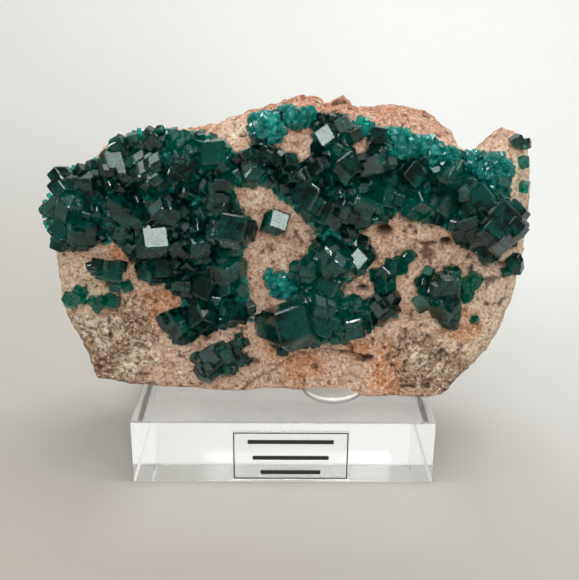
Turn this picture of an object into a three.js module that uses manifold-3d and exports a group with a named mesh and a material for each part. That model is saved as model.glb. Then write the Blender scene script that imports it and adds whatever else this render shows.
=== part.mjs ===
// A dioptase specimen: green crystals grown over the front of a slab of sandy rock, which stands
// on a clear acrylic block with a small framed label on its front face.
// Millimetres. The origin is the centre of the block's underside, +Z up, +X right, front faces -Y.
import * as THREE from "three";
import { mergeVertices } from "three/addons/utils/BufferGeometryUtils.js";
import Module from "manifold-3d";

const wasm = await Module();
wasm.setup();

// The acrylic block with its polished edge, the label on its front, the drop of glue on its top
const BLOCK = { width: 50, depth: 40, height: 11.5, chamfer: 0.25 };
const LABEL = { width: 19.5, height: 9.25, thickness: 0.125, x: 1.25, z: 5.25 };
const GLUE = { x: 8.7, y: -8, radius: 5.4, height: 0.9, sides: 24, rings: 4 };

// The slab of rock: its front and its lean, how far round its edges are, how lumpy its faces are
const ROCK = {
  base: BLOCK.height,
  front: -9.2,
  lean: Math.tan(THREE.MathUtils.degToRad(3)),
  topRound: 6,
  sideRound: 6.5,
  footRound: 1.2,
  backRound: 6,
  lump: 0.5,
  backLump: 0.9,
};
// How finely the slab is divided: stations along X, rows up the front, over the top and down the back
const SLAB_GRID = { stations: 33, front: 15, top: 2, back: 6 };
const FLOOR_GRID = { stations: 22, front: 10, top: 1, back: 3 };

// Upper and lower outline of the slab from the front, left to right: x, z
const TOP_EDGE = [
  [-39.3, 33], [-39.2, 41], [-38.6, 45], [-36.6, 48.5], [-33, 50], [-29.5, 53], [-25, 55.4],
  [-18, 56], [-11, 57], [-7, 58.4], [-4.4, 59], [-2.8, 60.3], [0, 61], [3, 61.4], [5.6, 61],
  [6.6, 60.3], [9.6, 61.1], [12.2, 60.3], [14.6, 59.6], [16, 60.2], [20.4, 60.1], [23.6, 59],
  [25.6, 57.2], [27.6, 56], [28, 54.4], [29.4, 53.4], [32.4, 54], [34.2, 55.4], [36.2, 56.1],
  [39, 54.6], [40.8, 53.4], [41.3, 49], [41.6, 40],
];
const FOOT_EDGE = [
  [-39.3, 29], [-38.8, 25.2], [-37.3, 21], [-36, 17.6], [-34.8, 14.4], [-32.6, 11.5], [27.4, 11.5],
  [31.6, 13.2], [34, 15.6], [36, 17.4], [38, 19.2], [39.2, 23.2], [40.7, 27.4], [41.6, 33],
];
// How far the front face stands behind its own plane at the foot: x, y, and up to what height
const FOOT_LINE = [[-39.3, 6.5], [-33, 6], [-26, 3.3], [-14.5, 1.5], [0, 0.8], [22, -0.4], [41.6, 0.8]];
const FOOT_LINE_HEIGHT = 14;

// Broad swellings of the front face: x, z, radius, how far they stand out
const SWELLINGS = [
  [-27, 46, 17, 2.6], [-10, 44, 12, 1.6], [8, 47, 13, 1.8], [34, 43, 10, 2.2], [3, 26, 10, 1.2],
  [26, 29, 8, 1], [-12, 18, 7, 0.8], [9, 14.5, 11, 0.9],
];
// The step where an upper layer of rock overhangs the lower one, left to right: x, z
const LEDGE = [[-6, 12.5], [-1.2, 15.8], [2.2, 18.6], [6, 19.7], [11, 19.2], [16, 18.2], [19, 16]];
const LEDGE_STEP = 1.1;
// Pits in the front face: x, z, radius, depth
const PITS = [[16.6, 40.6, 1.5, 2.2], [13.3, 30.6, 1.2, 1.4], [26.8, 38.8, 1.2, 1.5], [22.6, 32, 1, 1.3]];
// The broken back: planes given by their slope along x and z, and their y at x = 0, z = BREAK_LEVEL
const BREAKS = [
  [0.01, 0, 10.8], [0.11, -0.1, 11.7], [-0.1, -0.08, 11.4], [0.03, -0.3, 12.4], [-0.03, 0.26, 12],
];
const BREAK_LEVEL = 36;

// Places on the front face are given as x, z where an eye in front of the specimen sees them on an
// upright plane that leans back like the rock, so that what stands further back is placed right too
const EYE = new THREE.Vector3(-0.5, -146, 81.7);
const SIGHT_PLANE = { y: -10, z: 11.4 };

// What the joined crust of crystals covers, as seen: two outlines and the bare rock inside them
const CRUST = [
  [
    [-37.2, 36.4], [-39, 39.5], [-39.8, 42.5], [-39.4, 45.6], [-38, 48], [-36.6, 50.4], [-33.8, 51.4],
    [-31, 52.4], [-28.6, 53.9], [-27.6, 56], [-25.4, 56.6], [-23, 57.6], [-19.5, 57.8], [-15.6, 57],
    [-12, 57.2], [-9.8, 56], [-7.6, 53.6], [-5.9, 54.4], [-5.4, 58], [-3.6, 60.2], [0, 60.9],
    [5, 60.2], [9.6, 60], [12, 58.4], [15, 58.4], [18.4, 57.6], [22.8, 56.4], [27, 54.4], [31.6, 54.2],
    [35.4, 54], [37, 50.5], [37, 46.4], [38.6, 46], [40.3, 42.5], [39.4, 39.4], [37.2, 37.6],
    [35.2, 34.8], [32.6, 34.6], [31.6, 36.4], [28.8, 38.4], [26.6, 40.8], [24, 41.6], [20.6, 41.8],
    [18.8, 43.8], [16.6, 41.9], [13.6, 41], [11, 39], [6, 39.5], [4.4, 41.2], [2, 43.2], [0.6, 45],
    [-0.9, 45.3], [-2.2, 47.4], [-6.6, 47.9], [-7.9, 48], [-7.4, 45.8], [-4.4, 41.9], [-5.2, 39.6],
    [-6.6, 36], [-6.2, 33.8], [-5.2, 31.6], [-5.4, 29.4], [-4.2, 27.4], [-5.2, 24.6], [-9, 23.4],
    [-13.4, 22.6], [-15.6, 20.6], [-18.6, 20], [-20.4, 22.6], [-21, 25.8], [-17.6, 27.8],
    [-17.8, 29], [-21, 31.2], [-24.4, 31.8], [-25.2, 34.6], [-27.6, 38.2], [-30.8, 37.6], [-33.4, 37],
  ],
  [
    [5, 42], [11, 42], [14.4, 39], [15.4, 36.6], [13.6, 33.6], [11.6, 32.6], [10.4, 30.4],
    [12.6, 29.4], [15.2, 28.8], [15.6, 31], [14.2, 33.2], [17, 35.6], [20, 37.6], [22.8, 37.8],
    [21.4, 35.6], [18.6, 33], [17.8, 31.2], [19.6, 28.6], [19.8, 25.4], [17.4, 24.8], [14, 22.4],
    [10, 20.6], [5, 20.4], [1, 19.4], [-0.4, 18.8], [-2.8, 21.4], [-5.4, 24.2], [-5.2, 26.4],
    [-2.4, 27], [1, 28.6], [-1.8, 29.4], [-3, 31.4], [-2.6, 33.8], [0.6, 33.8], [2.8, 35.4],
    [4.4, 38.6],
  ],
];
const BARE = [
  [[-1.2, 57.6], [2.5, 56.8], [4.2, 57.3], [4.2, 53.6], [2.8, 51.8], [0.3, 53.8], [-1.6, 53.6]],
  [[10.5, 54.6], [12.3, 55.8], [13.8, 54.4], [11.2, 53.5]],
];

// The larger crystals of the crust, as seen: x, z, radius
const CRUST_CRYSTALS = [
  [-33, 40.5, 3.4], [-37.6, 40.2, 2.6], [-38.2, 44.4, 2.6], [-36.2, 48.6, 2.8], [-34.6, 44.6, 2.8],
  [-31.8, 48.2, 2.9], [-27.4, 50.4, 2.8], [-26.4, 54, 2.2], [-21.6, 54.8, 2.4], [-16.4, 55, 2.1],
  [-11.5, 53.2, 3.2], [-17, 51, 3], [-22.4, 49.8, 3.2], [-26, 44, 3.1], [-22, 38.7, 2.7],
  [-16, 47, 2.4], [-13.5, 31, 2.9], [-8.4, 40.5, 3.8], [-10.6, 47.4, 2.6], [-5.4, 50, 2.4],
  [-13.8, 38.6, 3], [-19.4, 43.6, 2.9], [-8.6, 34, 2.8], [-18.2, 24.4, 2.6], [-13.6, 26, 2.8],
  [-8.4, 26.6, 2.8], [-4.8, 25.4, 2], [-20.4, 34.2, 2.7], [3.5, 46.5, 3.6], [7.6, 43, 3.2],
  [12.6, 45, 3], [16.8, 46.6, 2.6], [4.6, 51.2, 2.9], [9.5, 51, 3], [14.6, 51, 3], [0.2, 50.8, 2.6],
  [20.9, 50.2, 2.8], [21.4, 45.2, 2.7], [27.2, 50.2, 3], [26, 45.4, 2.8], [30.6, 41.4, 2.9],
  [36, 41.4, 4], [32.6, 46.2, 3], [33, 37.4, 2.2], [6.8, 56, 2.4], [-2.8, 57, 2.9], [1.8, 58.8, 1.8],
  [9.4, 57.4, 2.2], [14.6, 56.4, 2.3], [19.4, 54.8, 2.5], [24, 53.4, 2.2], [34, 51, 2.8],
  [8.5, 38.4, 3.7], [12.6, 36, 2.4], [4, 33.8, 2.5], [-0.4, 31.4, 2.4], [8, 31.6, 3], [1, 24, 4.4],
  [7, 24.4, 2.9], [12, 24.2, 2.9], [16.6, 26.8, 2.7], [7.4, 27.8, 2.7], [16.4, 31.4, 2.3],
  [18.6, 34.4, 1.9], [20.8, 36.4, 1.4],
];
const FILL = { seed: 7, tries: 6000, smallest: 1.5, largest: 2.5, spacing: 0.8, margin: 0.5 };

// The crystals that stand clear of the crust, each list one piece, as seen: x, z, radius
const GROUPS = {
  crystals_below: [
    [-12.5, 17.6, 3.1], [-9.8, 18.8, 2.2], [-7.8, 20.8, 1.7], [-7.4, 18.2, 1.7], [-9.6, 16, 1.7],
    [-14.9, 18.2, 1.3],
  ],
  crystals_right: [
    [24, 33.6, 1.4], [27.3, 31.6, 2.9], [27, 28.2, 3.2], [28, 25.6, 2.1], [23.2, 28.2, 1.9],
    [24.2, 31, 2], [30.4, 31.4, 1.6], [32, 32.4, 1.6], [30.8, 29.4, 1.3],
  ],
  crystals_left: [[-29, 33.6, 2.7], [-31.2, 34.2, 1.5], [-28.2, 31.2, 1.5], [-26.2, 31, 1.2]],
  crystals_left_edge: [[-34.4, 29.4, 1.6], [-36, 28.5, 1.5]],
  crystals_left_foot: [[-31, 28, 1.6], [-28.8, 28.2, 1.5]],
  crystals_right_edge: [[38.4, 35.2, 1.7], [37, 33.8, 1]],
  crystals_top_corner: [[37, 55.6, 1.5], [38.3, 55.1, 1.1]],
  crystal_tablet: [[-1.7, 42.2, 2]],
  crystal_corner_upper: [[38.4, 52.2, 1.1]],
  crystal_corner_lower: [[38.8, 48.2, 1.3]],
  crystal_small_right: [[32.5, 25.3, 1]],
};

// How a crystal is built: the slope of its end faces, its prism length and tilt, and how deep it sits
const CRYSTAL = {
  endSlope: Math.tan(THREE.MathUtils.degToRad(50.9)),
  radiusShare: 0.95,
  shortest: -0.25,
  longest: 0.25,
  widestTilt: THREE.MathUtils.degToRad(75),
  standOut: 0.3,
};
const CLEARANCE = 0.3; // between the rock and what has grown on it
const CRUST_FLOOR = 1.3; // how far the crust's own floor, out of which its crystals rise, covers the rock

// Repeatable random numbers from 0 to 1
function randomFrom(seed) {
  let state = seed >>> 0;
  return () => {
    state = (state + 0x6d2b79f5) >>> 0;
    let t = Math.imul(state ^ (state >>> 15), 1 | state);
    t = (t + Math.imul(t ^ (t >>> 7), 61 | t)) ^ t;
    return ((t ^ (t >>> 14)) >>> 0) / 2 ** 32;
  };
}

// Smooth lattice noise from -1 to 1
function latticeValue(i, j, k) {
  const s = Math.sin(i * 127.1 + j * 311.7 + k * 74.7) * 43758.5453;
  return 2 * (s - Math.floor(s)) - 1;
}
function noise(...place) {
  const cell = place.map(Math.floor);
  const blend = place.map((c, n) => THREE.MathUtils.smoothstep(c - cell[n], 0, 1));
  let sum = 0;
  for (let corner = 0; corner < 8; corner++) {
    const step = [corner & 1, (corner >> 1) & 1, (corner >> 2) & 1];
    const weight = step.reduce((w, s, n) => w * (s ? blend[n] : 1 - blend[n]), 1);
    sum += weight * latticeValue(...cell.map((c, n) => c + step[n]));
  }
  return sum;
}

// The value at x of a broken line through points
function lineAt(points, x) {
  const last = points[points.length - 1];
  if (x <= points[0][0]) return points[0][1];
  if (x >= last[0]) return last[1];
  const i = points.findIndex((point) => point[0] > x);
  const [[x0, y0], [x1, y1]] = [points[i - 1], points[i]];
  return y0 + ((y1 - y0) * (x - x0)) / (x1 - x0);
}

// How far a face falls back at a distance from an edge that is rounded to a radius
function fallBack(distance, radius) {
  const s = THREE.MathUtils.clamp(1 - distance / radius, 0, 1);
  return radius * (1 - Math.sqrt(1 - s * s));
}

const LEFT_END = TOP_EDGE[0][0];
const RIGHT_END = TOP_EDGE[TOP_EDGE.length - 1][0];

function swelling(x, z) {
  return SWELLINGS.reduce((sum, [cx, cz, radius, height]) => {
    const s = Math.min(Math.hypot(x - cx, z - cz) / radius, 1);
    return sum + height * (1 - s * s) ** 2;
  }, 0);
}

// 1 under the overhanging layer of rock, 0 elsewhere
function underLedge(x, z) {
  if (x < LEDGE[0][0] || x > LEDGE[LEDGE.length - 1][0]) return 0;
  return THREE.MathUtils.smoothstep(lineAt(LEDGE, x) - z, -0.6, 0.8);
}

// The slab's rounded edges: how far a face has fallen back at x, z
function edgeDrop(x, z, topRound, flatFootRound) {
  const foot = lineAt(FOOT_EDGE, x);
  const footRound = foot > ROCK.base ? topRound : flatFootRound;
  const top = fallBack(lineAt(TOP_EDGE, x) - z, topRound);
  const side = fallBack(Math.min(x - LEFT_END, RIGHT_END - x), ROCK.sideRound);
  return Math.hypot(top, fallBack(z - foot, footRound), side);
}

// The rock's front face and its back face: y at x, z
function frontFace(x, z) {
  const foot = lineAt(FOOT_LINE, x) * Math.max(0, 1 - (z - ROCK.base) / FOOT_LINE_HEIGHT);
  const plane = ROCK.front + (z - ROCK.base) * ROCK.lean + foot;
  const lumps = ROCK.lump * (noise(x / 5, 3, z / 5) + 0.6 * noise(x / 2.2, 9, z / 2.2));
  const ledge = LEDGE_STEP * underLedge(x, z);
  return plane - swelling(x, z) + ledge + lumps + edgeDrop(x, z, ROCK.topRound, ROCK.footRound);
}
function backFace(x, z) {
  const broken = Math.min(...BREAKS.map(([alongX, alongZ, y]) => y + alongX * x + alongZ * (z - BREAK_LEVEL)));
  const lumps = ROCK.backLump * (noise(x / 7, 21, z / 7) + 0.5 * noise(x / 3, 33, z / 3));
  return broken + lumps - edgeDrop(x, z, ROCK.backRound, ROCK.footRound);
}

// A closed mesh as a solid, a solid as a geometry, and many solids as one
function toSolid(geometry) {
  for (const name of ["normal", "uv"]) geometry.deleteAttribute(name);
  const merged = mergeVertices(geometry, 1e-4);
  const vertProperties = new Float32Array(merged.attributes.position.array);
  const triVerts = new Uint32Array(merged.index.array);
  return new wasm.Manifold(new wasm.Mesh({ numProp: 3, vertProperties, triVerts }));
}
function toGeometry(solid) {
  const mesh = solid.getMesh();
  const geometry = new THREE.BufferGeometry();
  geometry.setAttribute("position", new THREE.BufferAttribute(new Float32Array(mesh.vertProperties), 3));
  geometry.setIndex(new THREE.BufferAttribute(new Uint32Array(mesh.triVerts), 1));
  return geometry;
}
function union(solids) {
  while (solids.length > 1) {
    const pairs = [];
    for (let i = 0; i < solids.length; i += 2) {
      pairs.push(i + 1 < solids.length ? solids[i].add(solids[i + 1]) : solids[i]);
    }
    solids = pairs;
  }
  return solids[0];
}

// The points round the slab at one station along X: up the front, over the top and down the back
function rockRing(x, grow, rows) {
  const inside = THREE.MathUtils.clamp(x, LEFT_END + 0.05, RIGHT_END - 0.05);
  const foot = lineAt(FOOT_EDGE, inside);
  const top = lineAt(TOP_EDGE, inside) + 0.3 * noise(x / 1.9, 51, 0);
  const halfway = (foot + top) / 2;
  const core = (frontFace(inside, halfway) + backFace(inside, halfway)) / 2;
  const halfCore = 0.4;
  const ring = [];
  for (let k = 0; k <= rows.front; k++) {
    const z = THREE.MathUtils.lerp(foot, top, k / rows.front);
    ring.push([Math.min(frontFace(inside, z), core - halfCore), z]);
  }
  const topFront = ring[rows.front][0];
  const topBack = Math.max(backFace(inside, top), core + halfCore);
  for (let k = 1; k <= rows.top; k++) {
    const y = THREE.MathUtils.lerp(topFront, topBack, k / (rows.top + 1));
    ring.push([y, top + 0.4 + 0.4 * noise(x / 2.4, y / 2.4, 77)]);
  }
  for (let k = 0; k <= rows.back; k++) {
    const z = THREE.MathUtils.lerp(top, foot, k / rows.back);
    ring.push([Math.max(backFace(inside, z), core + halfCore), z]);
  }
  return ring.map(([y, z], k) => {
    const [y0, z0] = ring[(k + ring.length - 1) % ring.length];
    const [y1, z1] = ring[(k + 1) % ring.length];
    const length = Math.hypot(y1 - y0, z1 - z0);
    return [y - (grow * (z1 - z0)) / length, z + (grow * (y1 - y0)) / length];
  });
}

// The slab of rock, or the space it takes with some clearance round it
function rockSolid(grow, grid) {
  const positions = [];
  const index = [];
  const around = grid.front + grid.top + grid.back + 2;
  for (let i = 0; i < grid.stations; i++) {
    const even = i / (grid.stations - 1);
    const crowded = (1 - Math.cos(Math.PI * even)) / 2; // more stations towards the two ends
    const x = THREE.MathUtils.lerp(LEFT_END - grow, RIGHT_END + grow, 0.6 * even + 0.4 * crowded);
    for (const [y, z] of rockRing(x, grow, grid)) positions.push(x, y, z);
    for (let k = 0; k < around && i > 0; k++) {
      const [a, b] = [i * around + k, i * around + ((k + 1) % around)];
      index.push(a - around, a, b - around, b - around, a, b);
    }
  }
  for (let k = 1; k + 1 < around; k++) {
    const last = (grid.stations - 1) * around;
    index.push(0, k, k + 1, last, last + k + 1, last + k);
  }
  const geometry = new THREE.BufferGeometry();
  geometry.setAttribute("position", new THREE.Float32BufferAttribute(positions, 3));
  geometry.setIndex(index);
  return toSolid(geometry);
}

function pitSolid([x, z, radius, depth]) {
  const geometry = new THREE.IcosahedronGeometry(1, 1);
  geometry.scale(radius, depth, radius * 0.7);
  geometry.translate(x, frontFace(x, z), z);
  return toSolid(geometry);
}

// The place on the front face, or standing out from it, that is seen at x, z on the sight plane
function seenPlace(x, z, standOut) {
  const onPlane = new THREE.Vector3(x, SIGHT_PLANE.y + (z - SIGHT_PLANE.z) * ROCK.lean, z);
  const place = onPlane.clone();
  for (let pass = 0; pass < 12; pass++) {
    const insideX = THREE.MathUtils.clamp(place.x, LEFT_END + 1, RIGHT_END - 1);
    const insideZ = Math.min(place.z, lineAt(TOP_EDGE, insideX) - 1);
    const y = (place.y + frontFace(insideX, insideZ) - standOut) / 2;
    place.lerpVectors(EYE, onPlane, (y - EYE.y) / (onPlane.y - EYE.y));
  }
  return place;
}

// One crystal along +Z: a six-sided prism ended by three sloping faces above and three below
function crystalGeometry(radius, stretch) {
  const waist = radius * stretch;
  const peak = waist + CRYSTAL.endSlope * radius;
  const shoulder = waist + (CRYSTAL.endSlope * radius) / 2;
  const points = [new THREE.Vector3(0, 0, peak), new THREE.Vector3(0, 0, -peak)];
  const index = [];
  for (let k = 0; k < 6; k++) {
    const corner = new THREE.Vector3().setFromCylindricalCoords(radius, (k * Math.PI) / 3, 0);
    const [above, below] = k % 2 ? [shoulder, waist] : [waist, shoulder];
    points.push(new THREE.Vector3(corner.z, corner.x, above), new THREE.Vector3(corner.z, corner.x, -below));
    const [upper, lower] = [2 + 2 * k, 3 + 2 * k];
    const [nextUpper, nextLower] = [2 + ((2 * k + 2) % 12), 3 + ((2 * k + 2) % 12)];
    index.push(0, upper, nextUpper, 1, nextLower, lower);
    index.push(lower, nextLower, nextUpper, lower, nextUpper, upper);
  }
  const geometry = new THREE.BufferGeometry().setFromPoints(points);
  geometry.setIndex(index);
  return geometry;
}

// A crystal set at a seen place, its long way tilted at random from straight out of the rock
function crystalSolid([x, z, radius], random) {
  const tilt = CRYSTAL.widestTilt * Math.sqrt(random());
  const around = 2 * Math.PI * random();
  const spin = 2 * Math.PI * random();
  const stretch = THREE.MathUtils.lerp(CRYSTAL.shortest, CRYSTAL.longest, random());
  const axis = new THREE.Vector3(Math.sin(tilt) * Math.cos(around), -Math.cos(tilt), Math.sin(tilt) * Math.sin(around));
  const turn = new THREE.Quaternion().setFromUnitVectors(new THREE.Vector3(0, 0, 1), axis);
  turn.multiply(new THREE.Quaternion().setFromAxisAngle(new THREE.Vector3(0, 0, 1), spin));
  const geometry = crystalGeometry(radius * CRYSTAL.radiusShare, stretch);
  const place = seenPlace(x, z, CLEARANCE + radius * CRYSTAL.standOut);
  geometry.applyMatrix4(new THREE.Matrix4().compose(place, turn, new THREE.Vector3(1, 1, 1)));
  return toSolid(geometry);
}

function isInside(outline, x, z) {
  let inside = false;
  outline.forEach(([x1, z1], i) => {
    const [x0, z0] = outline[(i + outline.length - 1) % outline.length];
    if (z1 > z !== z0 > z && x < ((x0 - x1) * (z - z1)) / (z0 - z1) + x1) inside = !inside;
  });
  return inside;
}
function distanceTo(outline, x, z) {
  const point = new THREE.Vector3(x, 0, z);
  const nearest = new THREE.Vector3();
  const distances = outline.map(([x1, z1], i) => {
    const [x0, z0] = outline[(i + outline.length - 1) % outline.length];
    const side = new THREE.Line3(new THREE.Vector3(x0, 0, z0), new THREE.Vector3(x1, 0, z1));
    return side.closestPointToPoint(point, true, nearest).distanceTo(point);
  });
  return Math.min(...distances);
}

// The crust's crystals: the larger ones, and smaller ones wherever these leave room
function crustCrystals() {
  const random = randomFrom(FILL.seed);
  const crystals = CRUST_CRYSTALS.slice();
  for (let n = 0; n < FILL.tries; n++) {
    const x = THREE.MathUtils.lerp(LEFT_END, RIGHT_END, random());
    const z = THREE.MathUtils.lerp(ROCK.base, 62, random());
    const radius = THREE.MathUtils.lerp(FILL.smallest, FILL.largest, random());
    const outline = CRUST.find((o) => isInside(o, x, z));
    if (!outline || BARE.some((o) => isInside(o, x, z))) continue;
    const room = Math.min(...[outline, ...BARE].map((o) => distanceTo(o, x, z)));
    if (room < radius * FILL.margin) continue;
    const crystal = [x, z, radius];
    if (!crystals.some((other) => closeness(crystal, other) < FILL.spacing)) crystals.push(crystal);
  }
  return crystals;
}

// How far apart two crystals are, as a share of both radii
function closeness([x0, z0, r0], [x1, z1, r1]) {
  return Math.hypot(x1 - x0, z1 - z0) / (r0 + r1);
}

// A prism along Y over an outline given as seen
function outlinePrism(outline) {
  const corners = outline.map(([x, z]) => seenPlace(x, z, 0)).map((place) => new THREE.Vector2(place.x, -place.z));
  const geometry = new THREE.ExtrudeGeometry(new THREE.Shape(corners), { depth: 24, bevelEnabled: false });
  geometry.rotateX(-Math.PI / 2);
  geometry.translate(0, -22, 0);
  return toSolid(geometry);
}

// The floor of the crust: a thin layer over the rock inside the crust's outlines
function crustFloor() {
  const covered = union(CRUST.map(outlinePrism)).subtract(union(BARE.map(outlinePrism)));
  return covered.intersect(rockSolid(CRUST_FLOOR, FLOOR_GRID));
}

function crystalsSolid(crystals, seed, others = []) {
  const random = randomFrom(seed);
  const solids = crystals.map((crystal) => crystalSolid(crystal, random));
  return union([...solids, ...others]).subtract(rockSpace);
}

function blockGeometry() {
  const [x, y] = [BLOCK.width / 2 - BLOCK.chamfer, BLOCK.depth / 2 - BLOCK.chamfer];
  const shape = new THREE.Shape([[-x, -y], [x, -y], [x, y], [-x, y]].map((p) => new THREE.Vector2(...p)));
  const geometry = new THREE.ExtrudeGeometry(shape, {
    depth: BLOCK.height - 2 * BLOCK.chamfer,
    bevelSize: BLOCK.chamfer,
    bevelThickness: BLOCK.chamfer,
    bevelSegments: 1,
  });
  geometry.translate(0, 0, BLOCK.chamfer);
  return geometry;
}

function labelGeometry() {
  const geometry = new THREE.BoxGeometry(LABEL.width, LABEL.thickness, LABEL.height);
  geometry.translate(LABEL.x, -(BLOCK.depth + LABEL.thickness) / 2, LABEL.z);
  return geometry;
}

// A flattened dome of glue, cut off where the rock stands on it
function glueGeometry() {
  const profile = [new THREE.Vector2(0, 0)];
  for (let k = 0; k < GLUE.rings; k++) {
    const angle = (k * Math.PI) / 2 / GLUE.rings;
    profile.push(new THREE.Vector2(GLUE.radius * Math.cos(angle), GLUE.height * Math.sin(angle)));
  }
  profile.push(new THREE.Vector2(0, GLUE.height));
  const geometry = new THREE.LatheGeometry(profile, GLUE.sides);
  geometry.rotateX(Math.PI / 2);
  geometry.translate(GLUE.x, GLUE.y, BLOCK.height);
  return toGeometry(toSolid(geometry).subtract(rockSpace));
}

const FINISHES = {
  acrylic: { color: 0xeef2f1, roughness: 0.04, metalness: 0, transparent: true, opacity: 0.35 },
  film: { color: 0xdfe1df, roughness: 0.35, metalness: 0 },
  glue: { color: 0xf4f3ee, roughness: 0.1, metalness: 0 },
  rock: { color: 0xc39682, roughness: 0.95, metalness: 0 },
  dioptase: { color: 0x0c4a3f, roughness: 0.12, metalness: 0, flatShading: true },
};

const specimen = new THREE.Group();
function addPiece(name, geometry, finish) {
  const mesh = new THREE.Mesh(geometry, new THREE.MeshStandardMaterial(FINISHES[finish]));
  mesh.name = name;
  specimen.add(mesh);
}

const rockBody = rockSolid(0, SLAB_GRID);
const rockSpace = rockSolid(CLEARANCE, SLAB_GRID);
addPiece("stand", blockGeometry(), "acrylic");
addPiece("label", labelGeometry(), "film");
addPiece("glue", glueGeometry(), "glue");
addPiece("rock", toGeometry(rockBody.subtract(union(PITS.map(pitSolid)))), "rock");
addPiece("crystal_crust", toGeometry(crystalsSolid(crustCrystals(), 3, [crustFloor()])), "dioptase");
Object.entries(GROUPS).forEach(([name, crystals], n) => {
  addPiece(name, toGeometry(crystalsSolid(crystals, 20 + n)), "dioptase");
});

export default specimen;
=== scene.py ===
"""The looks of a dioptase specimen on its acrylic block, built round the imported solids.

Lengths in this script are millimetres until a mesh is made. Places on the front of the rock are given
as x, z where an eye in front of the specimen sees them on an upright plane that leans back like it.
"""
import math

import bmesh
import bpy
import numpy as np
from mathutils import Matrix, Quaternion, Vector
from mathutils.geometry import normal as normal_of


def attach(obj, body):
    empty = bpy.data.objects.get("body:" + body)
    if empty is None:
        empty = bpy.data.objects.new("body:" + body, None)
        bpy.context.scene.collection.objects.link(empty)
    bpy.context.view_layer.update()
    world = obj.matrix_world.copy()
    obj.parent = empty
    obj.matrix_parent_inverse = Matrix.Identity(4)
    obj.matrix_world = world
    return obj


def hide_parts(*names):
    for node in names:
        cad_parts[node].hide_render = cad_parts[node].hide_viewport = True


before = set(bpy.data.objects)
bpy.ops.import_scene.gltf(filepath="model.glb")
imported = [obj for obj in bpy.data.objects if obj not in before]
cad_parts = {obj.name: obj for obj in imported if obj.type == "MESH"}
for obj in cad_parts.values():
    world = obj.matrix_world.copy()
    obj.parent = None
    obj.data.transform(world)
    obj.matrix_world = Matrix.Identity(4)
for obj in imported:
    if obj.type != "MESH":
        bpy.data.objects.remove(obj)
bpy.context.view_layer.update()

MM = 0.001

# The block, its label and its glue, as in the solids, and what only this script adds to them
BLOCK = {"depth": 40, "height": 11.5}
LABEL = {"width": 19.5, "height": 9.25, "thickness": 0.125, "x": 1.25, "z": 5.25}
LABEL_PRINT = {
    "inset": 0.25, "line": 0.2, "thickness": 0.03,
    "rule": 0.75, "rule_z": (7.5, 4.5, 1.75), "rule_half": (7.1, 6.3, 5.0),
}
GLUE = {"x": 8.7, "y": -8.0, "radius": 5.4, "height": 0.9}
GLUE_SWELL = 1.35  # how much rounder the drop is here than its plain solid
GLUE_WAVE = 0.025  # how far the drop's edge waves, in radii
FILM_GAP = 0.02  # between the label's film and the block
# A painted highlight on the glue's front edge, a thin white crescent standing in for the light its rim
# throws back, in shares of the drop's radius and in degrees
GLUE_HIGHLIGHT_RIM = {"inner": 0.87, "outer": 0.96, "from": 204, "to": 336, "thickness": 0.08, "clear": 0.02}

# The slab of rock, as in the solids, with its top and foot edges followed more closely
ROCK = {
    "base": 11.5, "front": -9.2, "lean": math.tan(math.radians(3)), "top_round": 6.0, "side_round": 6.5,
    "foot_round": 1.2, "back_round": 6.0, "lump": 0.5, "back_lump": 0.9, "crest_lump": 0.3,
    "crown": 0.4, "half_core": 0.4,
}
TOP_EDGE = [
    (-39.3, 32.6), (-39.2, 40.6), (-38.6, 44.6), (-36.6, 48.1), (-33, 49.6), (-29.5, 52.6), (-25, 55),
    (-18, 54.9), (-14.5, 55), (-11.5, 55.8), (-7, 57.8), (-4.4, 58.4), (-2.8, 59.7), (0, 60.4),
    (3, 60.8), (5.6, 60.4), (6.6, 59.7), (9.6, 60.4), (12.2, 59.6), (14.6, 58.9), (16, 59.5),
    (20.4, 59.4), (23.6, 58), (25.6, 56.9), (28, 55.2), (29, 52.9), (30.4, 51.8), (32.6, 52.2),
    (34.4, 54.2), (36.4, 55.8), (38.6, 55), (40.8, 52.8), (41.3, 48.4), (41.6, 40),
]
FOOT_EDGE = [
    (-39.3, 30), (-38.2, 25.2), (-36.9, 21.2), (-35.8, 17.8), (-34.6, 14.4), (-33.2, 11.5), (25.8, 11.5),
    (28, 12), (30.4, 13.5), (32.4, 14.6), (33.6, 15.6), (35.8, 18.2), (37.3, 21.6), (38.6, 25),
    (39.8, 29.5), (40.4, 34), (41.6, 38.5),
]
# How far behind its front plane the rock's foot lies along x, and how high up that still shows
FOOT_LINE = [(-39.3, 5.2), (-33, 4.4), (-26, 2), (-14.5, 0.2), (0, -0.9), (22, -2.5), (41.6, -1.4)]
FOOT_LINE_HEIGHT = 14.0
SWELLINGS = [  # x, z, radius, height
    (-27, 46, 17, 2.6), (-10, 44, 12, 1.6), (8, 47, 13, 1.8), (34, 43, 10, 2.2), (3, 26, 10, 1.2),
    (26, 29, 8, 1), (-12, 18, 7, 0.8), (9, 14.5, 11, 0.9),
]
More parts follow.
